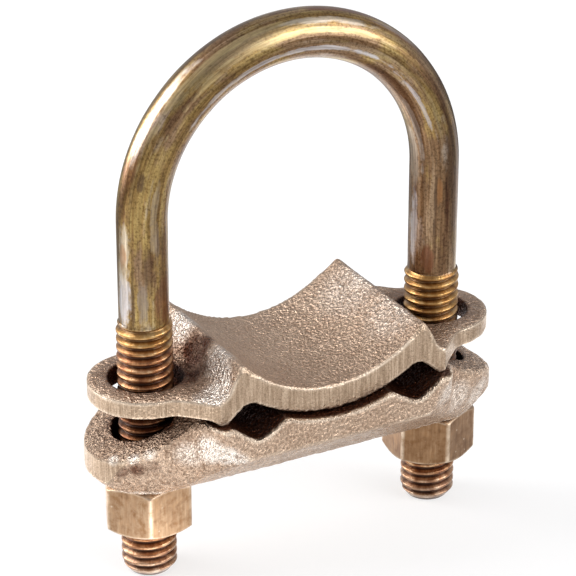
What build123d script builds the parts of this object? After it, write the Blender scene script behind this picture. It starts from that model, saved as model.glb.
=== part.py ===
from build123d import *
import os
from math import cos, radians, sin, sqrt, tan

# A U-bolt grounding connector. The bolt's legs stand along Z with their ends at z = 0, the pipe and
# the two cables run along Y, and the middle of the connector is at x = 0 and y = 0. Millimetres.

# Bolt
LEG_SPACING = 55.3
LEG_LENGTH = 64.3
SHANK_DIAMETER = 8.46
THREAD_DIAMETER = 9.525
LEFT_THREAD_LENGTH = 47.2
RIGHT_THREAD_LENGTH = 45.0
THREAD_RUNOUT = 1.6
POINT_LENGTH = 1.5
POINT_DIAMETER = 7.2

# Nuts
NUT_ACROSS_FLATS = 14.29
NUT_HEIGHT = 8.9
NUT_STANDOFF = 9.0
NUT_CHAMFER_ANGLE = 30.0
NUT_BORE_CLEARANCE = 0.05
NUT_COUNTERSINK = 0.7
NUT_LEFT_CORNER_ANGLE = 7.3
NUT_RIGHT_CORNER_ANGLE = 25.5

# Lower casting, heights above its flat underside
KEEPER_DEPTH = 35.2
KEEPER_BODY_WIDTH = 43.6
KEEPER_EAR_RADIUS = 10.6
KEEPER_HOLE_RADIUS = 5.9
KEEPER_UNDERSIDE_WIDTH = 15.4
KEEPER_FACE_BOTTOM = 8.0
KEEPER_CORNER_BEARING = 61.7
KEEPER_CORNER_STEEPNESS = 70.9
KEEPER_RIDGE_HEIGHT = 14.4
KEEPER_GROOVE_FLOOR = 10.9
KEEPER_RIDGE_WIDTH = 1.9
KEEPER_RIDGE_OVERHANG = 1.6
KEEPER_RIDGE_ROUNDING = 1.5
KEEPER_SHOULDER_OUTSET = 4.7
KEEPER_SHOULDER_HEIGHT = 11.7
KEEPER_SHOULDER_ROUNDING = 6.0
KEEPER_TIP_HEIGHT = 6.7
KEEPER_FLANK_ANGLE = 62.0
KEEPER_FLANK_ROUNDING = 3.0

# Cable grooves, shared by both castings, measured in from the lower casting's sides
GROOVE_INSET = 6.6
GROOVE_INNER_RUN = 5.2
GROOVE_PEAK_OUTSET = 1.0
GROOVE_ROUNDING = 2.4
CREST_ROUNDING = 1.0
MIDDLE_GAP = 0.55

# Upper casting, heights above its lips
SADDLE_DEPTH = 31.1
SADDLE_SIDE_INSET = 0.4
CRADLE_RADIUS = 22.9
CRADLE_FLOOR = 2.65
SADDLE_WALL = 4.3
HORN_SIDE_INSET = 3.5
HORN_TIP_WIDTH = 0.9
HORN_FOOT_INSET = 1.1
HORN_FOOT_ROUNDING = 2.5
LIP_WIDTH = 1.1
LIP_FLARE = 1.2
SADDLE_EAR_TOP = 4.25
SADDLE_EAR_THICKNESS = 3.55
SADDLE_EAR_RADIUS = 9.8
SADDLE_HOLE_RADIUS = 6.2
SADDLE_FLANK_ANGLE = 45.0
SADDLE_FLANK_ROUNDING = 4.0
SCOOP_RADIUS = 8.6
SCOOP_DRAFT = 11.0

# Levels and places worked out from the sizes above
leg_x = LEG_SPACING / 2
bend_radius = LEG_SPACING / 2
keeper_base = NUT_STANDOFF + NUT_HEIGHT
face_x = KEEPER_BODY_WIDTH / 2
groove_x = face_x - GROOVE_INSET
lip_z = keeper_base + KEEPER_RIDGE_HEIGHT
cradle_z = lip_z + CRADLE_FLOOR + CRADLE_RADIUS
underside_radius = CRADLE_RADIUS + SADDLE_WALL
ear_top_z = lip_z + SADDLE_EAR_TOP
ear_bottom_z = ear_top_z - SADDLE_EAR_THICKNESS
legs = (-leg_x, leg_x)
sides = (-1, 1)


def arc_height(x, radius):
    """Height at x of a circle about the pipe's axis."""
    return cradle_z - sqrt(radius**2 - x**2)


def nearest_corners(*places):
    """The corners of the sketch being drawn that lie nearest to the given places."""
    return [vertices().sort_by_distance(place)[0] for place in places]


def both_sides(x, y):
    """A place and its mirror image across the middle."""
    return [(side * x, y) for side in sides]


def plan_outline(body_x, body_y, ear_radius, flank_angle, flank_rounding):
    """A casting seen from above: a straight-sided body whose flanks run in to two round ears."""
    flank = Vector(cos(radians(flank_angle)), -sin(radians(flank_angle)))
    from_leg = Vector(body_x - leg_x, body_y)
    along = from_leg.dot(flank)
    reach = -along - sqrt(along**2 - from_leg.length**2 + ear_radius**2)
    root_x = body_x + reach * flank.X
    root_y = body_y + reach * flank.Y
    with BuildSketch() as outline:
        with Locations(*both_sides(leg_x, 0)):
            Circle(ear_radius)
        for side in sides:
            with BuildLine():
                Polyline(
                    (0, body_y),
                    (side * body_x, body_y),
                    (side * root_x, root_y),
                    (side * leg_x, 0),
                    (side * root_x, -root_y),
                    (side * body_x, -body_y),
                    (0, -body_y),
                    close=True,
                )
            make_face()
        roots = nearest_corners(*both_sides(root_x, root_y), *both_sides(root_x, -root_y))
        fillet(roots, flank_rounding)
    return outline.sketch


# The bolt: a rod bent to a half circle, with a threaded envelope on each leg
with BuildPart() as u_bolt:
    with BuildLine(Plane.XZ):
        rise = Line((-leg_x, LEFT_THREAD_LENGTH - THREAD_RUNOUT), (-leg_x, LEG_LENGTH))
        bend = ThreePointArc(rise @ 1, (0, LEG_LENGTH + bend_radius), (leg_x, LEG_LENGTH))
        Line(bend @ 1, (leg_x, RIGHT_THREAD_LENGTH - THREAD_RUNOUT))
    with BuildSketch(Plane(origin=(-leg_x, 0, LEFT_THREAD_LENGTH - THREAD_RUNOUT))):
        Circle(SHANK_DIAMETER / 2)
    sweep()
    for x, thread_length in zip(legs, (LEFT_THREAD_LENGTH, RIGHT_THREAD_LENGTH)):
        with BuildSketch(Plane.XZ):
            with BuildLine():
                Polyline(
                    (x, 0),
                    (x + POINT_DIAMETER / 2, 0),
                    (x + THREAD_DIAMETER / 2, POINT_LENGTH),
                    (x + THREAD_DIAMETER / 2, thread_length - THREAD_RUNOUT),
                    (x + SHANK_DIAMETER / 2, thread_length),
                    (x, thread_length),
                    close=True,
                )
            make_face()
        revolve(axis=Axis((x, 0, 0), (0, 0, 1)))

# The lower casting: an ear on each leg, a flat face at the front and back, two cable grooves on top
face_y = KEEPER_DEPTH / 2
face_bottom_z = keeper_base + KEEPER_FACE_BOTTOM
groove_floor_z = keeper_base + KEEPER_GROOVE_FLOOR
keeper_top_radius = underside_radius + MIDDLE_GAP
shoulder_z = keeper_base + KEEPER_SHOULDER_HEIGHT
keeper_end_x = leg_x + KEEPER_EAR_RADIUS
past_ear_x = keeper_end_x + KEEPER_EAR_RADIUS - KEEPER_HOLE_RADIUS
ridge_x = face_x - KEEPER_RIDGE_WIDTH
overhang_x = face_x + KEEPER_RIDGE_OVERHANG
shoulder_x = face_x + KEEPER_SHOULDER_OUTSET
ear_fall = (KEEPER_SHOULDER_HEIGHT - KEEPER_TIP_HEIGHT) / (keeper_end_x - shoulder_x)
crest_x = groove_x - GROOVE_INNER_RUN

with BuildPart() as cable_keeper:
    # the sloping lower hull, from the flat underside out to the foot of the faces
    with BuildSketch(Plane.XY.offset(keeper_base)):
        SlotCenterToCenter(LEG_SPACING, KEEPER_UNDERSIDE_WIDTH)
    with BuildSketch(Plane.XY.offset(face_bottom_z)):
        SlotCenterToCenter(LEG_SPACING, KEEPER_DEPTH)
    loft(ruled=True)
    with BuildSketch(Plane.XY.offset(face_bottom_z)):
        SlotCenterToCenter(LEG_SPACING, KEEPER_DEPTH)
    extrude(amount=lip_z - face_bottom_z)

    # the outline seen from above: body, sloping roots and round ears
    with BuildSketch(Plane.XY.offset(keeper_base)):
        add(plan_outline(face_x, face_y, KEEPER_EAR_RADIUS, KEEPER_FLANK_ANGLE, KEEPER_FLANK_ROUNDING))
    extrude(amount=lip_z - keeper_base, mode=Mode.INTERSECT)

    # the outline seen from the front: middle arc, cable grooves, ridges and falling ears
    with BuildSketch(Plane.XZ):
        with BuildLine():
            middle = ThreePointArc(
                (-crest_x, arc_height(crest_x, keeper_top_radius)),
                (0, arc_height(0, keeper_top_radius)),
                (crest_x, arc_height(crest_x, keeper_top_radius)),
            )
            for side in sides:
                start = middle @ 0 if side < 0 else middle @ 1
                FilletPolyline(
                    start,
                    (side * groove_x, groove_floor_z),
                    (side * ridge_x, lip_z),
                    radius=GROOVE_ROUNDING,
                )
                Polyline(
                    (side * ridge_x, lip_z),
                    (side * overhang_x, lip_z),
                    (side * shoulder_x, shoulder_z),
                    (side * past_ear_x, shoulder_z - (past_ear_x - shoulder_x) * ear_fall),
                    (side * past_ear_x, keeper_base),
                    (0, keeper_base),
                )
        make_face()
        crests = nearest_corners(*both_sides(crest_x, arc_height(crest_x, keeper_top_radius)))
        fillet(crests, CREST_ROUNDING)
        ridges = nearest_corners(*both_sides(ridge_x, lip_z))
        fillet(ridges, CREST_ROUNDING)
        overhangs = nearest_corners(*both_sides(overhang_x, lip_z))
        fillet(overhangs, KEEPER_RIDGE_ROUNDING)
        shoulders = nearest_corners(*both_sides(shoulder_x, shoulder_z))
        fillet(shoulders, KEEPER_SHOULDER_ROUNDING)
    extrude(amount=face_y, both=True, mode=Mode.INTERSECT)

    # a flat slope at each lower corner, from the face's edge to the side of the ear
    underside_half = KEEPER_UNDERSIDE_WIDTH / 2
    bearing = radians(KEEPER_CORNER_BEARING)
    lean = 1 / tan(radians(KEEPER_CORNER_STEEPNESS))
    for x_side in sides:
        for y_side in sides:
            out = Vector(x_side * cos(bearing), y_side * sin(bearing))
            foot = Vector(x_side * leg_x, 0, keeper_base) + out * underside_half
            split(bisect_by=Plane(origin=foot, z_dir=out - Vector(0, 0, lean)), keep=Keep.BOTTOM)

    with Locations((-leg_x, 0, lip_z), (leg_x, 0, lip_z)):
        Hole(KEEPER_HOLE_RADIUS, depth=lip_z - keeper_base)

# The upper casting: a pipe cradle between two horns, an ear on each leg, lips that rest on the ridges
saddle_y = SADDLE_DEPTH / 2
saddle_x = face_x - SADDLE_SIDE_INSET
saddle_end_x = leg_x + 2 * SADDLE_EAR_RADIUS
horn_foot_x = saddle_x - HORN_FOOT_INSET
peak_x = groove_x + GROOVE_PEAK_OUTSET
peak_z = arc_height(peak_x, underside_radius)
horn_x = saddle_x - HORN_SIDE_INSET - HORN_TIP_WIDTH
horn_z = arc_height(horn_x, CRADLE_RADIUS)
scoop_rise = horn_z - ear_top_z + SADDLE_WALL

with BuildPart() as pipe_saddle:
    with BuildSketch(Plane.XZ):
        with BuildLine():
            ThreePointArc((-horn_x, horn_z), (0, cradle_z - CRADLE_RADIUS), (horn_x, horn_z))
            ThreePointArc(
                (-peak_x, peak_z),
                (0, arc_height(0, underside_radius)),
                (peak_x, peak_z),
            )
            for side in sides:
                Polyline(
                    (side * horn_x, horn_z),
                    (side * (horn_x + HORN_TIP_WIDTH), horn_z - HORN_TIP_WIDTH / 2),
                    (side * horn_foot_x, ear_top_z),
                    (side * saddle_end_x, ear_top_z),
                    (side * saddle_end_x, ear_bottom_z),
                    (side * (saddle_x + LIP_FLARE), ear_bottom_z),
                    (side * saddle_x, lip_z),
                    (side * (saddle_x - LIP_WIDTH), lip_z),
                    (side * peak_x, peak_z),
                )
        make_face()
        peaks = nearest_corners(*both_sides(peak_x, peak_z))
        fillet(peaks, GROOVE_ROUNDING)
        feet = nearest_corners(*both_sides(horn_foot_x, ear_top_z))
        fillet(feet, HORN_FOOT_ROUNDING)
    extrude(amount=saddle_y, both=True)

    with BuildSketch(Plane.XY.offset(lip_z - SADDLE_WALL)):
        add(plan_outline(saddle_x, saddle_y, SADDLE_EAR_RADIUS, SADDLE_FLANK_ANGLE, SADDLE_FLANK_ROUNDING))
    extrude(amount=horn_z - lip_z + 2 * SADDLE_WALL, mode=Mode.INTERSECT)

    for x in legs:
        with BuildSketch(Plane.XZ):
            with BuildLine():
                Polyline(
                    (x, ear_top_z),
                    (x + SCOOP_RADIUS, ear_top_z),
                    (x + SCOOP_RADIUS + scoop_rise * tan(radians(SCOOP_DRAFT)), ear_top_z + scoop_rise),
                    (x, ear_top_z + scoop_rise),
                    close=True,
                )
            make_face()
        revolve(axis=Axis((x, 0, 0), (0, 0, 1)), mode=Mode.SUBTRACT)
    with Locations((-leg_x, 0, ear_top_z), (leg_x, 0, ear_top_z)):
        Hole(SADDLE_HOLE_RADIUS, depth=SADDLE_EAR_THICKNESS)


# The nuts: six flats cut from a chamfered disc, with a countersunk bore that runs on the thread
def make_nut(x, corner_angle):
    """One nut on the leg at x, turned so that a corner points at the given angle."""
    corner_radius = NUT_ACROSS_FLATS / sqrt(3)
    face_radius = NUT_ACROSS_FLATS / 2
    drop = (corner_radius - face_radius) * tan(radians(NUT_CHAMFER_ANGLE))
    bore = THREAD_DIAMETER / 2 + NUT_BORE_CLEARANCE
    top = NUT_STANDOFF + NUT_HEIGHT
    with BuildPart() as nut:
        with BuildSketch(Plane.XZ):
            with BuildLine():
                Polyline(
                    (x + bore, NUT_STANDOFF + NUT_COUNTERSINK),
                    (x + bore + NUT_COUNTERSINK, NUT_STANDOFF),
                    (x + face_radius, NUT_STANDOFF),
                    (x + corner_radius, NUT_STANDOFF + drop),
                    (x + corner_radius, top - drop),
                    (x + face_radius, top),
                    (x + bore + NUT_COUNTERSINK, top),
                    (x + bore, top - NUT_COUNTERSINK),
                    close=True,
                )
            make_face()
        revolve(axis=Axis((x, 0, 0), (0, 0, 1)))
        with BuildSketch(Plane(origin=(x, 0, NUT_STANDOFF))):
            RegularPolygon(face_radius, 6, major_radius=False, rotation=corner_angle)
        extrude(amount=NUT_HEIGHT, mode=Mode.INTERSECT)
    return nut


nut_left = make_nut(-leg_x, NUT_LEFT_CORNER_ANGLE)
nut_right = make_nut(leg_x, NUT_RIGHT_CORNER_ANGLE)

u_bolt.part.label = "u_bolt"
pipe_saddle.part.label = "pipe_saddle"
cable_keeper.part.label = "cable_keeper"
nut_left.part.label = "nut_left"
nut_right.part.label = "nut_right"

os.makedirs("parts", exist_ok=True)
export_step(u_bolt.part, "parts/u_bolt.step")
export_step(pipe_saddle.part, "parts/pipe_saddle.step")
export_step(cable_keeper.part, "parts/cable_keeper.step")
export_step(nut_left.part, "parts/nut_left.step")
export_step(nut_right.part, "parts/nut_right.step")
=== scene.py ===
"""Looks of a cast bronze grounding connector: threaded U-bolt, pipe saddle, cable keeper and two nuts."""
import math

import bmesh
import bpy
import numpy as np
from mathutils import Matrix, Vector, noise


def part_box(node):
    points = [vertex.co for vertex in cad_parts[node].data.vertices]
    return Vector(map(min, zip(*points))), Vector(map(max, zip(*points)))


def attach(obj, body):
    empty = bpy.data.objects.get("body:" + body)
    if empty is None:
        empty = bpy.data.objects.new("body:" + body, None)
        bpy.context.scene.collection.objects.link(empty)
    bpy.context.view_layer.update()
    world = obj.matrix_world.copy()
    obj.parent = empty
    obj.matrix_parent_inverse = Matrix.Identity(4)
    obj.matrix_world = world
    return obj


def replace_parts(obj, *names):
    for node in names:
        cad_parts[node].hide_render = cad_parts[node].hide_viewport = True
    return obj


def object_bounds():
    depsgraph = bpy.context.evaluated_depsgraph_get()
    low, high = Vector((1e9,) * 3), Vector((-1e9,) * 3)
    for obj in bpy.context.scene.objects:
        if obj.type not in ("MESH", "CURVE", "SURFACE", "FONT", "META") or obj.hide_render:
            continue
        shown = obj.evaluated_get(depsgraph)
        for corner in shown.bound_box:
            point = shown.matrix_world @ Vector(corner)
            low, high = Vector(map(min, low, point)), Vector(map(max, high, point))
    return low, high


MM = 0.001

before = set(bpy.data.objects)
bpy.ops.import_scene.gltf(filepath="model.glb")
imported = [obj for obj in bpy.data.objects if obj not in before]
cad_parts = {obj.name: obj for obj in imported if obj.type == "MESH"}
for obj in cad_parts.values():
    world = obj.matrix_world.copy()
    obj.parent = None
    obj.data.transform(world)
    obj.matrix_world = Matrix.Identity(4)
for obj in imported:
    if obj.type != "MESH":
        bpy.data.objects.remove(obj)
cad_low, cad_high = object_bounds()
_, bolt_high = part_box("u_bolt")

# Rod, with its thread's radius and its legs' places from the frame
THREAD_RADIUS = bolt_high.y
LEG_X = bolt_high.x - THREAD_RADIUS
BEND_RADIUS = LEG_X
LEG_LENGTH = 64.3 * MM
ROD_LENGTH = 2 * LEG_LENGTH + math.pi * BEND_RADIUS
SHANK_RADIUS = 4.23 * MM
LEFT_THREAD_TOP = 47.2 * MM
RIGHT_THREAD_TOP = 45.0 * MM
ROD_WEAR = 0.05 * MM

# Thread: shares are parts of the way from a crest to the next root
THREAD_PITCH = 1.5875 * MM
THREAD_DEPTH = 0.8 * MM
THREAD_FADE = 1.3 * MM
CREST_SHARE = 0.2
ROOT_SHARE = 0.94
FLANK_POWER = 1.1
POINT_RADIUS = 3.6 * MM
POINT_LENGTH = 1.5 * MM
END_CHAMFER_SHARE = 0.93
END_PATINA_SHARE = 0.9

# Castings: leg holes, distances from the middle along X, and how strongly smoothing rounds them
SADDLE_HOLE_RADIUS = 6.2 * MM
KEEPER_HOLE_RADIUS = 5.9 * MM
EAR_START = 23 * MM
SADDLE_GRIME_REACH = 23.5 * MM
KEEPER_GRIME_REACH = 22.5 * MM
KEEPER_RIM_START = 20 * MM
ROUNDING_STEP = 0.6
LEAST_ROUNDING = 0.02

# Lumps and waves of the castings: widths in metres, heights in millimetres
FINE_SAND = 0.85 * MM
FINE_SAND_HEIGHT = 0.06
BROAD_SAND = 1.9 * MM
BROAD_SAND_HEIGHT = 0.04
COARSE_SAND = 1.2 * MM
COARSE_SAND_HEIGHT = 0.09
GRINDING = 0.6 * MM
GRINDING_HEIGHT = 0.012
SADDLE_WAVE = 6 * MM
SADDLE_WAVE_HEIGHT = 0.07
KEEPER_WAVE = 7 * MM
KEEPER_WAVE_HEIGHT = 0.10

# Nuts: the depths of dents and grain are in millimetres
NUT_FLAT = 7.145 * MM
NUT_CORNER = NUT_FLAT / math.cos(math.pi / 6)
NUT_CORNER_ROUNDING = 0.16 * MM
NUT_CORNER_CUT = 0.62 * NUT_CORNER_ROUNDING
NUT_CORNER_SLOPE = 0.35
NUT_FACE_RADIUS = NUT_FLAT - 0.15 * MM
NUT_FACE_INSET = 0.1 * MM
NUT_SIDE_INSET = 0.06 * MM
NUT_BORE_RADIUS = THREAD_RADIUS + 0.05 * MM
NUT_COUNTERSINK = 0.7 * MM
CHAMFER_SLOPE = math.tan(math.radians(30))
NUT_DENT = 3.5 * MM
NUT_DENT_DEPTH = 0.03
NUT_GRAIN = 1.2 * MM
NUT_GRAIN_DEPTH = 0.012

# Mesh density
ROD_SEGMENTS = 72
ROWS_PER_PITCH = 16
SHANK_STEP = 0.9 * MM
CASTING_VOXEL = 0.31 * MM
NUT_COLUMNS = 18
NUT_COLUMN_AT_CORNER = 0.08 * MM
NUT_ROWS = 26
NUT_CHAMFER_SHARES = (0.04, 0.35, 0.7, 0.93)

# Camera, at the photograph's angle
CAMERA_AZIMUTH = -28.304
CAMERA_ELEVATION = 25.154
CAMERA_DISTANCE = 0.49873
CAMERA_AIM = (0.006741, 0.013764, 0.039168)
CAMERA_LENS = 177.947
SENSOR_WIDTH = 36.0


def new_object(name, points, faces, smooth=True):
    """A mesh object from numpy points and a list of faces."""
    mesh = bpy.data.meshes.new(name)
    mesh.from_pydata([tuple(p) for p in points], [], [tuple(f) for f in faces])
    mesh.validate()
    mesh.polygons.foreach_set("use_smooth", [smooth] * len(mesh.polygons))
    mesh.update()
    made = bpy.data.objects.new(name, mesh)
    bpy.context.scene.collection.objects.link(made)
    return made


def make_outward(obj):
    """Turns every face of a closed skin outward."""
    bm = bmesh.new()
    bm.from_mesh(obj.data)
    bmesh.ops.recalc_face_normals(bm, faces=bm.faces)
    bm.to_mesh(obj.data)
    bm.free()


def ring_faces(rings, next_rings):
    """Quads between rings of point numbers and the rings that follow them."""
    corners = [rings, np.roll(rings, -1, 1), np.roll(next_rings, -1, 1), next_rings]
    return np.stack(corners, -1).reshape(-1, 4).tolist()


def set_attributes(obj, **attributes):
    """Stores numbers, or vectors, per vertex for the materials to read."""
    for name, values in attributes.items():
        values = np.asarray(values, np.float32)
        kind = "FLOAT" if values.ndim == 1 else "FLOAT_VECTOR"
        attribute = obj.data.attributes.new(name, kind, "POINT")
        attribute.data.foreach_set("value" if kind == "FLOAT" else "vector", values.ravel())


def read_points(mesh):
    """The mesh's vertices and their normals as numpy arrays."""
    points = np.zeros(len(mesh.vertices) * 3, np.float32)
    normals = np.zeros(len(mesh.vertices) * 3, np.float32)
    mesh.vertices.foreach_get("co", points)
    mesh.vertex_normals.foreach_get("vector", normals)
    return points.reshape(-1, 3).astype(float), normals.reshape(-1, 3).astype(float)


def write_points(mesh, points):
    """Moves the mesh's vertices to the given points."""
    mesh.vertices.foreach_set("co", points.astype(np.float32).ravel())
    mesh.update()


def smoothstep(low, high, x):
    """0 below low, 1 above high and a smooth rise between."""
    t = np.clip((x - low) / (high - low), 0, 1)
    return t * t * (3 - 2 * t)


def noise_at(points, feature, seed):
    """Smooth noise from -1 to 1 at each point, with bumps about as wide as feature."""
    shift = Vector((seed * 13.7, seed * 7.1, seed * 3.3))
    scale = 1 / feature
    return np.array([noise.noise(Vector(p) * scale + shift) for p in points])


# The bolt


def thread_radius(z, azimuth, thread_top):
    """Radius of a leg at height z, and how deep in the groove that is, from 0 to 1.

    The turns are helical, fade into the shank above and end in a blunt point below.
    """
    turn = z / THREAD_PITCH - azimuth / (2 * math.pi)
    from_crest = np.abs(turn - np.round(turn)) * 2
    flank = np.clip((from_crest - CREST_SHARE) / (ROOT_SHARE - CREST_SHARE), 0, 1) ** FLANK_POWER
    radius = THREAD_RADIUS - THREAD_DEPTH * flank
    fade = smoothstep(0, 1, (thread_top - z) / THREAD_FADE)
    radius = SHANK_RADIUS + (radius - SHANK_RADIUS) * fade
    point = POINT_RADIUS + (THREAD_RADIUS - POINT_RADIUS) * np.clip(z / POINT_LENGTH, 0, 1)
    return np.minimum(radius, point), flank * fade


def rod_stations():
    """Places along the rod: how far along, centre, outward direction and leg (-1 left, 0 bend, 1 right)."""
    row = THREAD_PITCH / ROWS_PER_PITCH
    thread = np.arange(0, LEFT_THREAD_TOP + row, row)
    shank = np.arange(thread[-1] + SHANK_STEP, LEG_LENGTH - SHANK_STEP / 2, SHANK_STEP)
    leg = np.concatenate([thread, shank])
    bend_steps = int(math.pi * BEND_RADIUS / SHANK_STEP)
    stations = [(z, (-LEG_X, 0, z), (-1, 0, 0), -1) for z in leg]
    for angle in np.linspace(0, math.pi, bend_steps + 1):
        out = (-math.cos(angle), 0, math.sin(angle))
        centre = (BEND_RADIUS * out[0], 0, LEG_LENGTH + BEND_RADIUS * out[2])
        stations.append((LEG_LENGTH + BEND_RADIUS * angle, centre, out, 0))
    stations += [(ROD_LENGTH - z, (LEG_X, 0, z), (1, 0, 0), 1) for z in leg[::-1]]
    return stations


def wear_rod(points, centres, rod_place):
    """Faint lengthwise flats and shallow dents on the shank, and rubbed turns on the threads."""
    flats = np.abs(noise_at(rod_place * (1, 1, 0.06), 2.6 * MM, seed=1))
    dents = np.clip(noise_at(rod_place * (1, 1, 0.6), 4.5 * MM, seed=2) - 0.2, 0, 1)
    rubs = np.abs(noise_at(rod_place, 1.1 * MM, seed=3)) + np.abs(noise_at(rod_place, 3.0 * MM, seed=12))
    from_end = np.minimum(rod_place[:, 2], ROD_LENGTH - rod_place[:, 2])
    shank = smoothstep(RIGHT_THREAD_TOP - THREAD_FADE, LEFT_THREAD_TOP + THREAD_FADE, from_end)
    depth = ROD_WEAR * (shank * (flats + 2 * dents) + (1 - shank) * rubs)
    outward = points - centres
    outward /= np.linalg.norm(outward, axis=1)[:, None]
    return points - outward * depth[:, None]


def make_bolt():
    """The whole rod as one skin: threaded legs and the smooth bent shank, in rings along its length."""
    stations = rod_stations()
    around = np.linspace(0, 2 * math.pi, ROD_SEGMENTS, endpoint=False)
    cosine, sine = np.cos(around), np.sin(around)
    points, rod_place, groove = [], [], []
    for along, centre, out, leg in stations:
        z = centre[2]
        azimuth = around if leg > 0 else math.pi - around
        thread_top = LEFT_THREAD_TOP if leg < 0 else RIGHT_THREAD_TOP
        if leg and z < thread_top:
            radius, depth = thread_radius(z, azimuth, thread_top)
        else:
            radius, depth = np.full(ROD_SEGMENTS, SHANK_RADIUS), np.zeros(ROD_SEGMENTS)
        points.append(np.array(centre) + np.outer(radius * cosine, out) + np.outer(radius * sine, (0, 1, 0)))
        straight = [SHANK_RADIUS * cosine, SHANK_RADIUS * sine, np.full(ROD_SEGMENTS, along)]
        rod_place.append(np.stack(straight, -1))
        groove.append(depth)
    points, rod_place, groove = np.concatenate(points), np.concatenate(rod_place), np.concatenate(groove)
    centres = np.repeat(np.array([station[1] for station in stations]), ROD_SEGMENTS, axis=0)
    points = wear_rod(points, centres, rod_place)

    index = np.arange(len(points)).reshape(-1, ROD_SEGMENTS)
    faces = ring_faces(index[:-1], index[1:])
    for ring, centre in ((index[0], stations[0][1]), (index[-1], stations[-1][1])):
        start = len(points)
        inner_ring = np.arange(start, start + ROD_SEGMENTS)
        middle = np.full(ROD_SEGMENTS, start + ROD_SEGMENTS)
        points = np.concatenate([points, centre + (points[ring] - centre) * END_CHAMFER_SHARE, [centre]])
        inner_place = rod_place[ring] * (END_PATINA_SHARE, END_PATINA_SHARE, 1)
        rod_place = np.concatenate([rod_place, inner_place, rod_place[ring][:1] * (0, 0, 1)])
        groove = np.concatenate([groove, np.zeros(ROD_SEGMENTS + 1)])
        faces += ring_faces(ring[None], inner_ring[None])
        faces += np.stack([inner_ring, np.roll(inner_ring, -1), middle], -1).tolist()
    bolt = new_object("u_bolt_rod", points, faces)
    make_outward(bolt)
    set_attributes(bolt, rod_place=rod_place, groove=groove)
    return bolt


# The castings


def casting_skin(node, name):
    """A fine, evenly meshed copy of a casting."""
    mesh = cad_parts[node].data.copy()
    bm = bmesh.new()
    bm.from_mesh(mesh)
    bmesh.ops.remove_doubles(bm, verts=bm.verts, dist=1e-6)
    bm.to_mesh(mesh)
    bm.free()
    skin = bpy.data.objects.new(name, mesh)
    bpy.context.scene.collection.objects.link(skin)
    remesh = skin.modifiers.new("even", "REMESH")
    remesh.mode = "VOXEL"
    remesh.voxel_size = CASTING_VOXEL
    bpy.context.view_layer.update()
    graph = bpy.context.evaluated_depsgraph_get()
    even = bpy.data.meshes.new_from_object(skin.evaluated_get(graph))
    skin.modifiers.clear()
    skin.data = even
    even.materials.clear()
    even.polygons.foreach_set("use_smooth", [True] * len(even.polygons))
    bpy.data.meshes.remove(mesh)
    return skin


def neighbour_means(mesh, values, rounds=1, weights=1.0):
    """Blends each vertex's values with those of its neighbours."""
    edges = np.zeros(len(mesh.edges) * 2, np.int32)
    mesh.edges.foreach_get("vertices", edges)
    edges = edges.reshape(-1, 2)
    count = len(values)
    ends = np.concatenate([edges[:, 0], edges[:, 1]])
    others = np.concatenate([edges[:, 1], edges[:, 0]])
    degree = np.maximum(np.bincount(ends, minlength=count), 1)
    flat = values.ndim == 1
    values = values.reshape(count, -1)
    weights = np.broadcast_to(weights, (count,))[:, None]
    for _ in range(rounds):
        columns = [np.bincount(ends, values[others, i], count) / degree for i in range(values.shape[1])]
        values = values + (np.stack(columns, -1) - values) * weights
    return values[:, 0] if flat else values


def relax(skin, weights, rounds):
    """Rounds a skin where the weights are high, as sand rounds a casting, and leaves it crisp elsewhere."""
    points, _ = read_points(skin.data)
    write_points(skin.data, neighbour_means(skin.data, points, rounds, ROUNDING_STEP * weights))


def edge_wear(skin, reach, hole_radius):
    """1 along outer edges, 0 on flat and hollow places and at the rims of the leg holes."""
    points, normals = read_points(skin.data)
    offset = points - neighbour_means(skin.data, points)
    bulge = neighbour_means(skin.data, np.einsum("ij,ij->i", offset, normals), 2)
    past_rim = smoothstep(hole_radius + 0.6 * MM, hole_radius + 1.2 * MM, reach)
    return smoothstep(0.009 * MM, 0.03 * MM, bulge) * past_rim


def leg_polar(points):
    """Distance of each point from the nearer leg's axis, and its bearing there: 0 outward, pi inward."""
    x = np.abs(points[:, 0]) - LEG_X
    return np.hypot(x, points[:, 1]), np.abs(np.arctan2(points[:, 1], x))


def leads_away(points, normals):
    """Above 0 where the skin faces away from the nearer leg's axis, below 0 where it faces the leg."""
    x = np.abs(points[:, 0]) - LEG_X
    return normals[:, 0] * np.sign(points[:, 0]) * x + normals[:, 1] * points[:, 1]


def flat_faces(points, half_depth):
    """1 on the flat front and back faces."""
    return smoothstep(half_depth - 0.3 * MM, half_depth - 0.12 * MM, np.abs(points[:, 1]))


def ear_walls(points, normals, ear_radius):
    """1 on the upright outer walls of the ears and flanks."""
    reach, _ = leg_polar(points)
    upright = 1 - smoothstep(0.15, 0.35, np.abs(normals[:, 2]))
    outside = smoothstep(ear_radius - 0.6 * MM, ear_radius - 0.3 * MM, reach)
    return upright * outside * (leads_away(points, normals) > 0)


def hole_walls(points, normals, hole_radius):
    """1 on the walls of the two leg holes."""
    reach, _ = leg_polar(points)
    inward = smoothstep(0.25, 0.6, -leads_away(points, normals) / np.maximum(reach, 0.1 * MM))
    return inward * (1 - smoothstep(hole_radius + 0.4 * MM, hole_radius + 0.9 * MM, reach))


def hole_rim(reach, hole_radius):
    """1 on the rims of the leg holes."""
    return 1 - smoothstep(0.6 * MM, 1.6 * MM, np.abs(reach - hole_radius))


def faces_down(normals):
    """1 on a flat underside."""
    return smoothstep(-0.9, -0.98, normals[:, 2])


def sand_lumps(points, seed):
    """Heights of cast sand in millimetres, fine and broad lumps together."""
    fine = FINE_SAND_HEIGHT * noise_at(points, FINE_SAND, seed)
    return fine + BROAD_SAND_HEIGHT * noise_at(points, BROAD_SAND, seed + 1)


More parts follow.
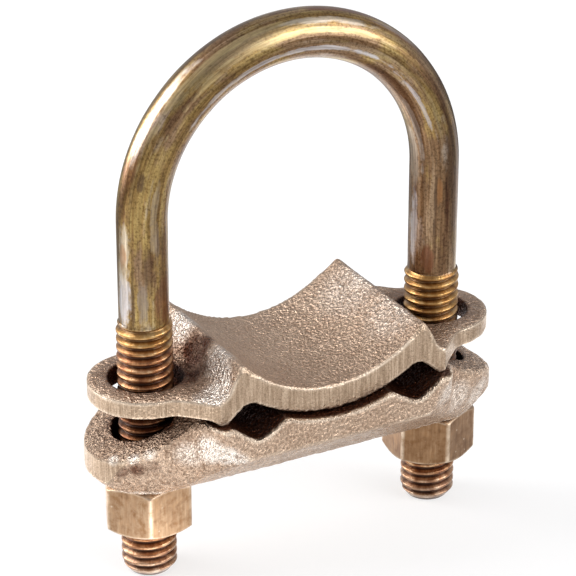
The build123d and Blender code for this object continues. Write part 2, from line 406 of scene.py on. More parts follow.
def sink_and_swell(skin, low, high, lift):
    """Moves a skin along its normals by millimetres and keeps it inside the casting's box."""
    points, normals = read_points(skin.data)
    points = points + normals * (lift * MM)[:, None]
    write_points(skin.data, np.clip(points, np.array(low), np.array(high)))


def spot_mask(points, spots):
    """Soft round spots: each is a place in millimetres, a radius in millimetres and a strength."""
    mask = np.zeros(len(points))
    for place, radius, strength in spots:
        distance = np.linalg.norm(points - np.array(place) * MM, axis=1)
        mask = np.maximum(mask, strength * (1 - smoothstep(0.35 * radius * MM, radius * MM, distance)))
    return mask


# Painted glints on sandy places, and painted shade in hollows: place and radius in millimetres, strength
SADDLE_BRIGHT_SPOTS = (
    ((-20.9, -11.8, 36.8), 3.2, 1.0),
    ((-18.2, 6, 41.8), 5, 0.8),
    ((-18.6, -8.5, 40.8), 4.5, 0.8),
    ((-22, -13.5, 37), 4.5, 1.0),
    ((-22.6, -13.2, 36.6), 3.2, 1.0),
    ((-19.6, -12.8, 38.2), 3, 1.0),
    ((-18.7, -11.6, 40), 2.6, 0.8),
    ((-19.4, -12, 38.5), 3.5, 0.9),
    ((16, -7, 42), 8, 0.3),
    ((15, 6, 41), 9, 0.3),
    ((18.3, 6, 41.8), 5, 0.6),
    ((18.6, -8.5, 40.8), 4.5, 0.6),
)
SADDLE_DARK_SPOTS = (
    ((-18.2, -2.8, 41.3), 2.6, 0.9),
    ((-18.6, -1.4, 39.8), 3.2, 1.0),
    ((-18.9, 0, 38.3), 3.4, 1.0),
    ((-20.4, -0.8, 36.8), 3.2, 0.9),
    ((-21, -3.6, 36.7), 3.2, 0.7),
    ((-19.2, -4.6, 38.6), 2.6, 0.5),
    ((19.2, 0, 38), 4, 0.8),
)
KEEPER_BRIGHT_SPOTS = (
    ((-23.2, -14.8, 28.0), 3.6, 1.0),
    ((-20.6, -16.2, 27.1), 2.8, 1.0),
    ((-18.7, -16.9, 26.2), 1.9, 0.9),
    ((-26, -12.5, 26.5), 3.4, 0.6),
    ((-36.6, -5.4, 25.5), 1.5, 0.75),
    ((-34.2, -8.2, 26.4), 1.6, 0.75),
    ((-31.8, -9.6, 27.2), 1.5, 0.65),
    ((21.5, -15.6, 29), 4, 0.5),
    ((27, -11, 24), 4, 0.5),
    ((33, -7, 22), 4, 0.5),
)
KEEPER_DARK_SPOTS = (
    ((-35.6, -6.6, 23.3), 1.8, 0.8),
    ((-33.4, -8.1, 23.9), 2.0, 0.9),
    ((-31.0, -9.4, 24.6), 1.8, 0.6),
)


def make_saddle():
    """The upper casting: sandy cradle, horns and ear tops, ground faces and ear walls, painted shade
    underneath.
    """
    low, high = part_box("pipe_saddle")
    skin = casting_skin("pipe_saddle", "pipe_saddle_casting")
    points, normals = read_points(skin.data)
    reach, bearing = leg_polar(points)
    ground = np.clip(flat_faces(points, high.y) + ear_walls(points, normals, high.x - LEG_X), 0, 1)
    below = smoothstep(-0.2, -0.5, normals[:, 2])
    sandy = (1 - ground) * (1 - 0.85 * hole_rim(reach, SADDLE_HOLE_RADIUS)) * (1 - 0.7 * below)
    relax(skin, np.clip(sandy, LEAST_ROUNDING, 1), rounds=22)
    tips = smoothstep(high.z - 3.2 * MM, high.z - 0.6 * MM, points[:, 2])
    relax(skin, tips, rounds=30)
    wear = edge_wear(skin, reach, SADDLE_HOLE_RADIUS) * (1 - below)

    points, normals = read_points(skin.data)
    wave = SADDLE_WAVE_HEIGHT * noise_at(points, SADDLE_WAVE, seed=6)
    cut = GRINDING_HEIGHT * noise_at(points, GRINDING, seed=7)
    lumps = sand_lumps(points, seed=4) * (1 - ground)
    sink_and_swell(skin, low, high, lumps + wave * (1 - 0.7 * ground) + cut * ground)

    width, depth = np.abs(points[:, 0]), np.abs(points[:, 1])
    # Stains round the legs, with painted shade on their inner side
    near = 1 - smoothstep(6.5 * MM, 10 * MM, reach)
    inner = smoothstep(1.5, 2.3, bearing) * (1 - smoothstep(9.5 * MM, 12.0 * MM, reach))
    above = smoothstep(low.z + 2.5 * MM, low.z + 4 * MM, points[:, 2])
    # Painted shade under the middle of the saddle and on the walls of the leg holes
    covered = below * (width < SADDLE_GRIME_REACH) * smoothstep(0.3 * MM, 1.2 * MM, high.y - depth)
    # Painted shade spots, and painted glints on the sand
    dark = spot_mask(points, SADDLE_DARK_SPOTS)
    bright = spot_mask(points, SADDLE_BRIGHT_SPOTS)
    walls = hole_walls(points, normals, SADDLE_HOLE_RADIUS)
    set_attributes(
        skin,
        ground=ground,
        coarse=np.zeros(len(points)),
        wear=wear,
        shine=bright * (1 - ground) * (1 - dark),
        stain=np.clip(0.5 * near + 0.45 * inner + dark, 0, 1) * above * (1 - ground),
        grime=np.clip(covered + walls + 0.45 * dark, 0, 1),
    )
    return skin


def make_keeper():
    """The lower casting: fine sandy faces, coarse slopes, ground ear ends and painted shade under the saddle.
    """
    low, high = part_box("cable_keeper")
    skin = casting_skin("cable_keeper", "cable_keeper_casting")
    points, normals = read_points(skin.data)
    reach, bearing = leg_polar(points)
    faces = flat_faces(points, high.y)
    ends = ear_walls(points, normals, high.x - LEG_X) * (1 - smoothstep(0.7, 0.85, bearing))
    top = smoothstep(0.1, 0.3, normals[:, 2]) * (np.abs(points[:, 0]) < EAR_START)
    sandy = (1 - faces) * (1 - 0.9 * ends) * (1 - 0.85 * hole_rim(reach, KEEPER_HOLE_RADIUS))
    sandy = sandy * (1 - faces_down(normals)) * (1 - 0.8 * top)
    relax(skin, np.clip(sandy, LEAST_ROUNDING, 1), rounds=18)
    wear = edge_wear(skin, reach, KEEPER_HOLE_RADIUS)

    points, normals = read_points(skin.data)
    width, depth = np.abs(points[:, 0]), np.abs(points[:, 1])
    flat = np.clip(faces + ends, 0, 1)
    slopes = smoothstep(0.1, -0.3, normals[:, 2])
    ear_top = smoothstep(0.3, 0.6, normals[:, 2]) * (width > EAR_START)
    coarse = np.clip((slopes + ear_top) * (1 - flat), 0, 1)
    lumps = sand_lumps(points, seed=8) * (1 - 0.8 * flat)
    lumps = lumps + COARSE_SAND_HEIGHT * noise_at(points, COARSE_SAND, seed=10) * coarse
    wave = KEEPER_WAVE_HEIGHT * noise_at(points, KEEPER_WAVE, seed=11)
    sink_and_swell(skin, low, high, lumps + wave * (1 - 0.6 * flat))

    # Stains round the legs, with painted shade on their inner side under the saddle's ears
    near = 1 - smoothstep(6 * MM, 8.4 * MM, reach)
    inner = smoothstep(1.3, 2.0, bearing) * (1 - smoothstep(9 * MM, 12 * MM, reach))
    above = smoothstep(low.z + 5 * MM, low.z + 6.5 * MM, points[:, 2])
    # Painted shade on the top under the saddle and on the walls of the leg holes
    covered = smoothstep(0.1, 0.3, normals[:, 2]) * (width < KEEPER_GRIME_REACH)
    covered = covered * smoothstep(0.25 * MM, 1.0 * MM, high.y - depth)
    # Painted glints at the spots and a painted highlight along the ears' lower rims; painted shade at the
    # shade spots
    lower_rim = (1 - smoothstep(0.3 * MM, 1.1 * MM, points[:, 2] - low.z)) * (width > KEEPER_RIM_START)
    bright = np.maximum(spot_mask(points, KEEPER_BRIGHT_SPOTS), 0.7 * lower_rim)
    dark = spot_mask(points, KEEPER_DARK_SPOTS) * (1 - 0.5 * flat)
    walls = hole_walls(points, normals, KEEPER_HOLE_RADIUS)
    set_attributes(
        skin,
        ground=ends,
        coarse=coarse,
        wear=wear,
        shine=bright * (1 - faces_down(normals)),
        stain=np.clip((0.6 * near + 0.8 * inner) * above * (1 - flat) + dark, 0, 1),
        grime=np.clip(covered + walls, 0, 1),
    )
    return skin


# The nuts


def nut_azimuths(corner):
    """Bearings of the nut's upright mesh lines, close together at the corners so that the flats stay flat."""
    half_side = NUT_FLAT * math.tan(math.pi / 6)
    last = half_side - NUT_CORNER_ROUNDING
    at_corner = last + NUT_COLUMN_AT_CORNER
    across = np.concatenate([[-at_corner], np.linspace(-last, last, NUT_COLUMNS), [at_corner]])
    one_side = np.arctan2(across, NUT_FLAT)
    return np.concatenate([one_side + corner + math.pi / 6 + i * math.pi / 3 for i in range(6)])


def nut_radius(azimuth, corner):
    """Distance from the axis to the hexagon, with slightly rounded corners."""
    turned = (azimuth - corner) % (math.pi / 3) - math.pi / 6
    flat = NUT_FLAT / np.cos(turned)
    limit = NUT_CORNER - NUT_CORNER_CUT
    return np.minimum(flat, limit + (flat - limit) * NUT_CORNER_SLOPE)


def nut_rings(azimuth, hexagon, axis_x, bottom, top):
    """Rings of points round the whole skin: bottom face, sides, top face, and down the smooth bore."""
    rings = []

    def ring(radius, z):
        height = np.broadcast_to(z, azimuth.shape)
        rings.append(np.stack([axis_x + radius * np.cos(azimuth), radius * np.sin(azimuth), height], -1))

    countersink = NUT_BORE_RADIUS + NUT_COUNTERSINK
    flat_radii = (countersink, (countersink + NUT_FACE_RADIUS) / 2, NUT_FACE_RADIUS - NUT_FACE_INSET)
    end_rings = [(radius, 0) for radius in flat_radii]
    for share in NUT_CHAMFER_SHARES:
        radius = NUT_FACE_RADIUS + (hexagon - NUT_FACE_RADIUS) * share
        end_rings.append((radius, np.clip(radius - NUT_FACE_RADIUS, 0, None) * CHAMFER_SLOPE))
    for radius, inset in end_rings:
        ring(radius, bottom + inset)
    side_inset = np.clip(hexagon - NUT_FACE_RADIUS, 0, None) * CHAMFER_SLOPE + NUT_SIDE_INSET
    for share in np.linspace(0, 1, NUT_ROWS + 1):
        ring(hexagon, bottom + side_inset + (top - bottom - 2 * side_inset) * share)
    for radius, inset in end_rings[::-1]:
        ring(radius, top - inset)
    ring(NUT_BORE_RADIUS, top - NUT_COUNTERSINK)
    ring(NUT_BORE_RADIUS, bottom + NUT_COUNTERSINK)
    return rings


def make_nut(node, name, corner, seed, tones):
    """A hexagon nut with chamfered ends and a countersunk bore. Corner is the bearing of one corner."""
    low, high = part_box(node)
    axis_x = math.copysign(LEG_X, low.x)
    bottom, top = low.z, high.z
    azimuth = nut_azimuths(corner)
    rings = nut_rings(azimuth, nut_radius(azimuth, corner), axis_x, bottom, top)
    index = np.arange(len(rings) * len(azimuth)).reshape(len(rings), len(azimuth))
    nut = new_object(name, np.concatenate(rings), ring_faces(index, np.roll(index, -1, 0)))
    make_outward(nut)

    points, normals = read_points(nut.data)
    reach = np.hypot(points[:, 0] - axis_x, points[:, 1])
    outer = smoothstep(NUT_FLAT - 0.6 * MM, NUT_FLAT - 0.1 * MM, reach)
    dents = NUT_DENT_DEPTH * np.clip(noise_at(points, NUT_DENT, seed) - 0.1, 0, 1)
    dents = dents + NUT_GRAIN_DEPTH * np.abs(noise_at(points, NUT_GRAIN, seed + 0.5))
    points = points - normals * (dents * outer * MM)[:, None]
    write_points(nut.data, points)

    x, y = points[:, 0] - axis_x, points[:, 1]
    reach = np.hypot(x, y)
    facet = np.floor((np.arctan2(y, x) - corner) % (2 * math.pi) / (math.pi / 3)).astype(int) % 6
    corner_line = smoothstep(NUT_CORNER - 0.3 * MM, NUT_CORNER - 0.16 * MM, reach)
    chamfer_drop = np.clip(reach - NUT_FACE_RADIUS, 0, None) * CHAMFER_SLOPE
    end_gap = np.minimum(points[:, 2] - bottom, top - points[:, 2]) - chamfer_drop
    chamfer_line = 1 - smoothstep(0.08 * MM, 0.3 * MM, np.abs(end_gap))
    chamfer_line = chamfer_line * (reach > NUT_FACE_RADIUS + 0.05 * MM)
    wear = np.clip(corner_line + 0.8 * chamfer_line, 0, 1)
    # Painted light and shade for each facet, and pale edges
    set_attributes(nut, tone=np.array(tones)[facet], wear=wear)
    return nut


# Nodes


class Nodes:
    """Adds nodes to one emptied node tree and links them."""

    def __init__(self, tree, output):
        self.tree = tree
        tree.nodes.clear()
        self.output = self.add(output)

    def add(self, kind, inputs=None, **settings):
        """A node with its settings, and with inputs that are set or linked."""
        node = self.tree.nodes.new(kind)
        for key, value in settings.items():
            setattr(node, key, value)
        for name, value in (inputs or {}).items():
            self.fill(node.inputs[name], value)
        return node

    def fill(self, socket, value):
        """Sets a socket to a number or colour, or links it."""
        if isinstance(value, bpy.types.NodeSocket):
            self.tree.links.new(value, socket)
        elif isinstance(value, tuple) and len(value) == 3 and socket.type == "RGBA":
            socket.default_value = (*value, 1)
        else:
            socket.default_value = value

    def place(self, kind="Object"):
        """Where on the object, or in which direction of the world."""
        return self.add("ShaderNodeTexCoord").outputs[kind]

    def attribute(self, name, output="Fac"):
        return self.add("ShaderNodeAttribute", attribute_name=name).outputs[output]

    def split(self, vector):
        """The outputs X, Y and Z of a vector."""
        return self.add("ShaderNodeSeparateXYZ", {0: vector}).outputs

    def stretch(self, vector, scale):
        return self.add("ShaderNodeMapping", {"Vector": vector, "Scale": scale}).outputs["Vector"]

    def noise(self, vector, feature, detail=3.0, rough=0.55):
        """Noise from 0 to 1 with bumps about as wide as feature, in metres."""
        inputs = {"Vector": vector, "Scale": 1 / feature, "Detail": detail, "Roughness": rough}
        return self.add("ShaderNodeTexNoise", inputs).outputs["Fac"]

    def cells(self, vector, feature):
        """Distance from the nearest of many scattered points, about a feature apart."""
        return self.add("ShaderNodeTexVoronoi", {"Vector": vector, "Scale": 1 / feature}).outputs["Distance"]

    def ramp(self, value, stops):
        """A colour ramp: stops are (position, colour)."""
        node = self.add("ShaderNodeValToRGB", {"Fac": value})
        elements = node.color_ramp.elements
        while len(elements) < len(stops):
            elements.new(0.5)
        for element, (position, colour) in zip(elements, stops):
            element.position = position
            element.color = (*colour, 1)
        return node.outputs["Color"]

    def levels(self, value, stops):
        """A ramp of grey levels: stops are (position, level)."""
        return self.ramp(value, [(position, (level, level, level)) for position, level in stops])

    def scaled(self, value, from_low, from_high, to_low, to_high):
        """Maps one range of a number to another and stays inside it."""
        names = ("From Min", "From Max", "To Min", "To Max")
        inputs = dict(zip(names, (from_low, from_high, to_low, to_high)))
        return self.add("ShaderNodeMapRange", {"Value": value, **inputs}).outputs["Result"]

    def math(self, operation, a, b=0.0, clamp=False):
        return self.add("ShaderNodeMath", {0: a, 1: b}, operation=operation, use_clamp=clamp).outputs[0]

    def plus(self, a, b):
        return self.math("ADD", a, b)

    def minus(self, a, b):
        return self.math("SUBTRACT", a, b)

    def times(self, a, b):
        return self.math("MULTIPLY", a, b)

    def blend(self, share, a, b):
        """Mixes two numbers."""
        return self.add("ShaderNodeMix", {0: share, 2: a, 3: b}).outputs[0]

    def mix(self, share, a, b, blend="MIX"):
        """Mixes two colours."""
        node = self.add("ShaderNodeMix", {0: share, 6: a, 7: b}, data_type="RGBA", blend_type=blend)
        return node.outputs[2]

    def tint(self, colour, by):
        """One colour multiplied by another."""
        return self.mix(1.0, colour, by, "MULTIPLY")

    def seen_or_mirrored(self, seen, mirrored):
        """One shader for what the camera sees, and another for light and reflections."""
        camera_ray = self.add("ShaderNodeLightPath").outputs["Is Camera Ray"]
        mix = self.add("ShaderNodeMixShader", {"Fac": camera_ray, 1: mirrored.outputs[0], 2: seen.outputs[0]})
        self.fill(self.output.inputs["Surface"], mix.outputs[0])


class Surface(Nodes):
    """The nodes of a material with one principled shader."""

    def __init__(self, name):
        self.material = bpy.data.materials.new(name)
        self.material.use_nodes = True
        super().__init__(self.material.node_tree, "ShaderNodeOutputMaterial")
        self.shader = self.add("ShaderNodeBsdfPrincipled")
        self.fill(self.output.inputs["Surface"], self.shader.outputs["BSDF"])

    def bump(self, height, distance):
        """The normal of a surface that is raised by height times distance, in metres."""
        inputs = {"Height": height, "Strength": 1.0, "Distance": distance}
        return self.add("ShaderNodeBump", inputs).outputs["Normal"]

    def finish(self, **inputs):
        """Sets or links the shader's inputs, named in lower case with underscores, and gives the material."""
        for name, value in inputs.items():
            self.fill(self.shader.inputs[name.replace("_", " ").title()], value)
        return self.material


# Casting colours: stops of a noise, and tints
SAND = ((0.3, (0.455, 0.315, 0.222)), (0.7, (0.545, 0.40, 0.295)))
SPECKLE = ((0.32, (0.74, 0.70, 0.67)), (0.48, (0.97, 0.97, 0.97)), (0.66, (1.3, 1.3, 1.3)))
PITS = ((0.36, (0.66, 0.58, 0.53)), (0.47, (1, 1, 1)))
GROUND_STREAKS = ((0.28, (0.32, 0.225, 0.15)), (0.5, (0.46, 0.335, 0.235)), (0.7, (0.66, 0.51, 0.375)))
DUST = ((0.35, (0.8, 0.78, 0.76)), (0.6, (1.1, 1.1, 1.1)))
STAIN = (0.2, 0.09, 0.05)
GRIME = (0.16, 0.07, 0.04)
GLINT = (1.0, 0.91, 0.82)
WORN_EDGE = (0.92, 0.76, 0.60)
SIDE_TONE_REACH = 20 * MM
SADDLE_SIDE_TONE = 0.08


def casting_material(name, side_tone=0.0):
    """Sand-cast bronze: pinkish tan and grainy, with upright streaks where ground, and pale worn edges.

    The pale edges also carry a painted highlight. Side shading is painted light and shade: it makes the
    casting lighter on the left and darker on the right by that share.
    """
    s = Surface(name)
    place = s.place()
    ground, coarse, shine = s.attribute("ground"), s.attribute("coarse"), s.attribute("shine")
    fine = s.noise(place, 0.24 * MM, detail=1.0, rough=0.5)
    fine_grain = s.noise(place, 0.55 * MM, detail=1.5, rough=0.5)
    coarse_grain = s.noise(place, 0.66 * MM, detail=2.0, rough=0.55)
    grain = s.blend(coarse, fine_grain, coarse_grain)
    patches = s.noise(place, 6 * MM, detail=4.0)
    blotches = s.noise(place, 2.2 * MM, detail=3.0, rough=0.6)
    streaks = s.noise(s.stretch(place, (1, 1, 0.06)), 0.34 * MM, detail=2.5, rough=0.65)

    sandy = s.tint(s.ramp(patches, SAND), s.ramp(grain, SPECKLE))
    across = s.split(place)["X"]
    # Painted light and shade: lighter on the left, darker on the right
    sandy = s.tint(sandy, s.scaled(across, -SIDE_TONE_REACH, SIDE_TONE_REACH, 1 + side_tone, 1 - side_tone))
    sandy = s.mix(s.times(coarse, 0.5), sandy, s.tint(sandy, s.ramp(grain, PITS)))
    cut = s.tint(s.ramp(streaks, GROUND_STREAKS), s.ramp(fine, DUST))
    colour = s.mix(ground, sandy, cut)
    # Stains round the legs, deepened with painted shade on the inner side and at the shade spots
    stain = s.times(s.attribute("stain"), s.scaled(blotches, 0.35, 0.6, 0.45, 1.0))
    colour = s.mix(stain, colour, s.tint(colour, STAIN))
    # Painted shade under the other casting, on the leg-hole walls and at the shade spots
    colour = s.mix(s.attribute("grime"), colour, s.tint(colour, GRIME))
    # Painted glints: pale sand where the glint spots lie, broken up by the grain
    colour = s.mix(s.times(shine, s.scaled(grain, 0.37, 0.53, 0.28, 1.0)), colour, GLINT)
    # Pale worn edges, lightened also as a painted highlight along the rims
    wear = s.times(s.attribute("wear"), s.scaled(patches, 0.35, 0.65, 0.35, 1.0))
    colour = s.mix(wear, colour, WORN_EDGE)

    rough = s.minus(s.scaled(grain, 0.35, 0.65, 0.46, 0.26), s.times(coarse, 0.08))
    rough = s.blend(shine, rough, 0.22)
    sand_height = s.times(s.plus(grain, s.times(fine, 0.3)), s.scaled(ground, 0.0, 1.0, 1.0, 0.2))
    sand_height = s.times(sand_height, s.scaled(coarse, 0.0, 1.0, 1.0, 1.5))
    height = s.plus(sand_height, s.times(s.times(streaks, ground), 0.14))
    return s.finish(base_color=colour, roughness=rough, metallic=0.9, normal=s.bump(height, 0.75 * MM))


# Rod colours: stops of a noise, and the colours of single patches
OLIVE_STREAKS = (
    (0.3, (0.12, 0.06, 0.018)),
    (0.44, (0.31, 0.19, 0.06)),
    (0.56, (0.45, 0.31, 0.11)),
    (0.68, (0.56, 0.43, 0.22)),
    (0.8, (0.70, 0.60, 0.42)),
)
BROWN_STREAKS = ((0.3, (0.08, 0.03, 0.012)), (0.5, (0.24, 0.138, 0.066)), (0.72, (0.50, 0.355, 0.22)))
PALE_STREAKS = ((0.3, (0.3, 0.23, 0.17)), (0.55, (0.62, 0.54, 0.46)), (0.75, (0.9, 0.86, 0.84)))
FINE_STREAKS = ((0.3, (0.6, 0.57, 0.55)), (0.55, (1, 1, 1)), (0.75, (1.3, 1.3, 1.35)))
ROD_SPECKS = ((0.37, (0.62, 0.58, 0.55)), (0.48, (1, 1, 1)), (0.66, (1.22, 1.22, 1.24)))
BROWN_CREST = ((0.32, (0.20, 0.07, 0.03)), (0.5, (0.42, 0.19, 0.08)), (0.68, (0.70, 0.45, 0.25)))
GOLDEN_CREST = ((0.32, (0.24, 0.10, 0.03)), (0.5, (0.46, 0.25, 0.075)), (0.68, (0.64, 0.43, 0.19)))
PALE_CREST = ((0.32, (0.22, 0.12, 0.08)), (0.5, (0.42, 0.29, 0.20)), (0.68, (0.72, 0.60, 0.50)))
THREAD_ROOT = (0.05, 0.018, 0.01)
SHADED_THREAD = (0.3, 0.22, 0.18)
# Lavender, whitish and cream patches are painted highlights and reflections over the patina
LAVENDER = (0.66, 0.64, 0.66)
WHITISH = (0.74, 0.70, 0.63)
PALE_TAN = (0.60, 0.49, 0.35)
GREY_BROWN = (0.34, 0.27, 0.21)
CREAM = (0.74, 0.64, 0.50)
ORANGE = (0.44, 0.20, 0.07)
REDDISH = (0.22, 0.085, 0.04)
DARK_BROWN = (0.10, 0.055, 0.03)
GOLD = (0.64, 0.50, 0.25)
OLIVE = (0.33, 0.27, 0.15)

# Ragged patches on the smooth rod, of patina and, in the pale colours, of painted highlights and reflections:
# millimetres from the left end, bearing around the rod in degrees (0 outward, -90 to the front), half length,
# half width in degrees, colour, strength
ROD_PATCHES = (
    (52, -16, 4.6, 21, LAVENDER, 0.95),
    (57, -14, 2.5, 18, CREAM, 0.7),
    (61.0, -20, 3.6, 17, CREAM, 0.85),
    (59.4, -15, 2.3, 10, ORANGE, 0.9),
    (51.5, -120, 4, 24, REDDISH, 0.9),
    (58, -128, 7, 30, DARK_BROWN, 0.5),
    (52, -40, 7, 4, DARK_BROWN, 0.8),
    (71, -12, 5, 18, REDDISH, 0.85),
    (72, -50, 1.4, 8, DARK_BROWN, 0.9),
    (84, -10, 12, 22, REDDISH, 0.3),
    (100, 25, 12, 22, DARK_BROWN, 0.8),
    (104, -68, 20, 8, GOLD, 0.8),
    (99, -50, 14, 15, OLIVE, 0.6),
    (113, -44, 8, 9, WHITISH, 0.6),
    (83, -12, 9, 12, WHITISH, 0.65),
    (104, -110, 22, 6, LAVENDER, 0.75),
    (136, -116, 8, 5, LAVENDER, 0.6),
    (143, -150, 8, 8, WHITISH, 0.6),
    (146, -168, 8, 8, DARK_BROWN, 0.5),
    (108, 18, 7, 8, PALE_TAN, 0.8),
    (126, -25, 5, 8, LAVENDER, 0.5),
    (57, -75, 4, 12, DARK_BROWN, 0.5),
    (52, -64, 4, 12, GREY_BROWN, 0.8),
    (66, -92, 7, 9, PALE_TAN, 0.6),
    (61, -100, 5, 7, GREY_BROWN, 0.6),
    (78, -32, 12, 7, DARK_BROWN, 0.55),
    (90, -36, 14, 9, GOLD, 0.55),
    (118, -8, 9, 10, REDDISH, 0.85),
    (131, 12, 8, 14, REDDISH, 0.6),
    (128, -30, 10, 12, REDDISH, 0.5),
    (136, 0, 9, 18, DARK_BROWN, 0.7),
    (149, -172, 6, 15, CREAM, 0.5),
    (150, -60, 6, 30, DARK_BROWN, 0.7),
    (155.5, -106, 2.6, 8, ORANGE, 0.8),
    (162, -172, 7, 12, LAVENDER, 0.7),
    (160, -116, 9, 4, DARK_BROWN, 0.8),
    (168, -132, 2.5, 16, REDDISH, 0.9),
    (162, -50, 8, 26, DARK_BROWN, 0.5),
)


def rod_patch(s, axis, middle, bearing, length, width, ragged):
    """A ragged patch on the rod: 1 inside, centred at a place along it and a bearing around it."""
    turn = math.radians(bearing)
    lengthwise = s.math("DIVIDE", s.math("ABSOLUTE", s.minus(axis["Z"], middle * MM)), length * MM)
    x = s.times(axis["X"], math.cos(turn) / SHANK_RADIUS)
    y = s.times(axis["Y"], math.sin(turn) / SHANK_RADIUS)
    sideways = s.math("DIVIDE", s.minus(1.0, s.plus(x, y)), 1 - math.cos(math.radians(width)))
    longwise = s.math("POWER", lengthwise, 2.5)
    crosswise = s.math("POWER", s.math("MAXIMUM", sideways, 0.0), 1.25)
    distance = s.plus(s.plus(longwise, crosswise), s.times(s.minus(ragged, 0.5), 4.5))
    return s.scaled(distance, 0.45, 1.3, 1.0, 0.0)


def shank_colour(s, place, axis, long_streaks, fine_streaks, patches, grain):
    """Olive, brown and silvery streaks, specks and the placed patches of the smooth rod."""
    browner_right = s.scaled(axis["Z"], 90 * MM, 145 * MM, -0.06, 0.11)
    brown_share = s.scaled(s.plus(patches, browner_right), 0.44, 0.54, 0.0, 1.0)
    colour = s.mix(brown_share, s.ramp(long_streaks, OLIVE_STREAKS), s.ramp(long_streaks, BROWN_STREAKS))
    silver = s.noise(s.stretch(place, (1.1, 0.9, 0.25)), 3.5 * MM, detail=4.0, rough=0.6)
    colour = s.mix(s.scaled(silver, 0.57, 0.66, 0.0, 0.5), colour, s.ramp(long_streaks, PALE_STREAKS))
    colour = s.tint(colour, s.ramp(grain, ROD_SPECKS))
    ragged = s.noise(s.stretch(place, (1, 1, 0.45)), 1.7 * MM, detail=4.0, rough=0.65)
    streaky = s.scaled(long_streaks, 0.35, 0.6, 0.45, 1.0)
    for middle, bearing, length, width, patch_colour, strength in ROD_PATCHES:
        patch = rod_patch(s, axis, middle, bearing, length, width, ragged)
        colour = s.mix(s.times(patch, s.times(streaky, strength)), colour, patch_colour)
    return s.tint(colour, s.ramp(fine_streaks, FINE_STREAKS))


def thread_colour(s, place, along, from_left, from_right):
    """Brown crests, golden at the threads' tops and pale at the leg ends, over roots in painted shade."""
    # A noise of dirt that varies the crests' colour
    grime = s.noise(place, 1.5 * MM, detail=4.0, rough=0.7)
    gold_left = s.scaled(along, LEFT_THREAD_TOP - 6 * MM, LEFT_THREAD_TOP - 3 * MM, 0.0, 0.9)
    gold_right = s.scaled(along, ROD_LENGTH - 38 * MM, ROD_LENGTH - 32 * MM, 0.9, 0.0)
    gold = s.math("ADD", s.times(gold_left, from_left), s.times(gold_right, from_right), clamp=True)
    crest = s.mix(gold, s.ramp(grime, BROWN_CREST), s.ramp(grime, GOLDEN_CREST))
    from_end = s.math("MINIMUM", along, s.minus(ROD_LENGTH, along))
    crest = s.mix(s.scaled(from_end, 2 * MM, 7 * MM, 0.65, 0.0), crest, s.ramp(grime, PALE_CREST))
    # Painted shade in the roots of the thread
    groove = s.scaled(s.attribute("groove"), 0.3, 0.85, 0.0, 0.95)
    colour = s.mix(s.times(groove, s.scaled(gold, 0.0, 1.0, 1.0, 0.75)), crest, THREAD_ROOT)
    # Painted shade on the thread between the two castings
    between_castings = s.math("ABSOLUTE", s.minus(from_end, 30 * MM))
    between_castings = s.scaled(between_castings, 3.5 * MM, 6 * MM, 0.85, 0.0)
    return s.mix(between_castings, colour, s.tint(colour, SHADED_THREAD))


def rod_material():
    """Rolled bronze rod with an olive and brown patina drawn out along its length, darker in the thread."""
    s = Surface("rod_patina")
    place = s.attribute("rod_place", "Vector")
    axis = s.split(place)
    along = axis["Z"]
    long_streaks = s.noise(s.stretch(place, (1, 1, 0.05)), 1.5 * MM, detail=4.0, rough=0.65)
    fine_streaks = s.noise(s.stretch(place, (1, 1, 0.04)), 0.4 * MM, detail=3.0, rough=0.7)
    patches = s.noise(s.stretch(place, (1, 1, 0.3)), 5 * MM, detail=5.0, rough=0.6)
    grain = s.noise(place, 0.45 * MM, detail=2.5, rough=0.65)
    shank = shank_colour(s, place, axis, long_streaks, fine_streaks, patches, grain)
    from_left = s.math("LESS_THAN", along, LEFT_THREAD_TOP - 0.6 * MM)
    from_right = s.math("GREATER_THAN", along, ROD_LENGTH - RIGHT_THREAD_TOP + 0.6 * MM)
    threaded = s.math("ADD", from_left, from_right, clamp=True)
    colour = s.mix(threaded, shank, thread_colour(s, place, along, from_left, from_right))
    rough = s.scaled(patches, 0.35, 0.65, 0.28, 0.40)
    normal = s.bump(s.plus(fine_streaks, s.times(grain, 0.6)), 0.045 * MM)
    return s.finish(base_color=colour, roughness=rough, metallic=1.0, normal=normal,
                    coat_weight=0.3, coat_roughness=0.18)


# Nut colours: stops of a noise, tints, and the painted light and shade of each facet
LEFT_TAN = ((0.28, (0.38, 0.225, 0.125)), (0.5, (0.45, 0.285, 0.17)), (0.74, (0.54, 0.37, 0.235)))
RIGHT_TAN = ((0.28, (0.23, 0.12, 0.058)), (0.5, (0.29, 0.165, 0.085)), (0.74, (0.38, 0.235, 0.135)))
NUT_BROWN = ((0.3, (0.17, 0.09, 0.045)), (0.6, (0.33, 0.19, 0.10)), (0.8, (0.46, 0.29, 0.17)))
NUT_MOTTLE = ((0.34, (0.74, 0.64, 0.53)), (0.5, (1, 1, 1)), (0.66, (1.16, 1.15, 1.12)))
NUT_EDGE = (0.86, 0.70, 0.54)
NUT_SPOT = (0.85, 0.72, 0.58)
LEFT_TONES = (1.0, 0.9, 1.05, 0.84, 1.18, 0.95)
RIGHT_TONES = (0.95, 1.05, 1.05, 1.04, 0.84, 1.0)


